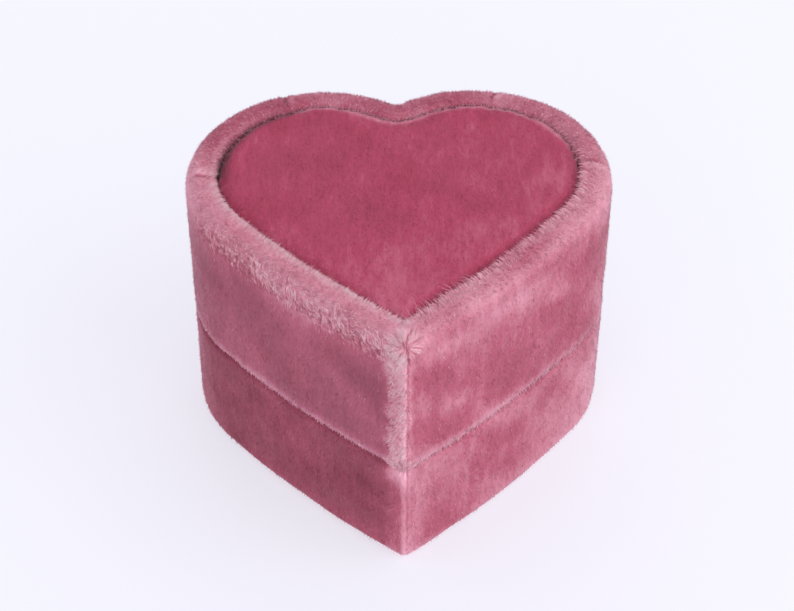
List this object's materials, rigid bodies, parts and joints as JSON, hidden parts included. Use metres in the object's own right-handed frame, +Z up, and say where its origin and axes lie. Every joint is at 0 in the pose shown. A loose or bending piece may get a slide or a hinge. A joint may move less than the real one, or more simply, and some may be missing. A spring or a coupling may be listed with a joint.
{
  "type": "ring box",
  "caption": "Heart-shaped velvet ring box: a lift-off lid with a let-in top panel over a base with a collar and a slotted ring pad.",
  "frame": {"origin": "middle of the box's footprint, on the surface it stands on", "axes": "+Z up; the heart's tip points to -Y and its lobes to +Y; the box is the same on both sides of X = 0"},
  "size_m": [0.06, 0.055, 0.0424],
  "materials": {
    "rose_velvet": "matte",
    "deep_rose_velvet": "matte",
    "rose_satin": "satin",
    "greyboard": "matte",
    "wadding": "matte",
    "foam": "matte"
  },
  "bodies": {
    "base": {"base_velvet_wrap": "rose_velvet", "base_wall_board": "greyboard", "base_floor_board": "greyboard", "bottom_panel_velvet": "deep_rose_velvet", "bottom_panel_board": "greyboard", "collar_velvet": "deep_rose_velvet", "collar_board": "greyboard", "ring_pad_board": "greyboard", "front_pad_velvet": "deep_rose_velvet", "front_pad_foam": "foam", "back_pad_velvet": "deep_rose_velvet", "back_pad_foam": "foam"},
    "lid": {"lid_velvet_wrap": "rose_velvet", "lid_wall_board": "greyboard", "lid_deck_board": "greyboard", "top_panel_velvet": "deep_rose_velvet", "top_panel_wadding": "wadding", "top_panel_board": "greyboard", "ceiling_satin": "rose_satin", "ceiling_wadding": "wadding", "ceiling_board": "greyboard"}
  },
  "joints": [
    {"name": "lid_lift", "type": "slide", "parent": "base", "child": "lid", "axis": [0, 0, 1], "range_m": [0, 0.03]}
  ]
}
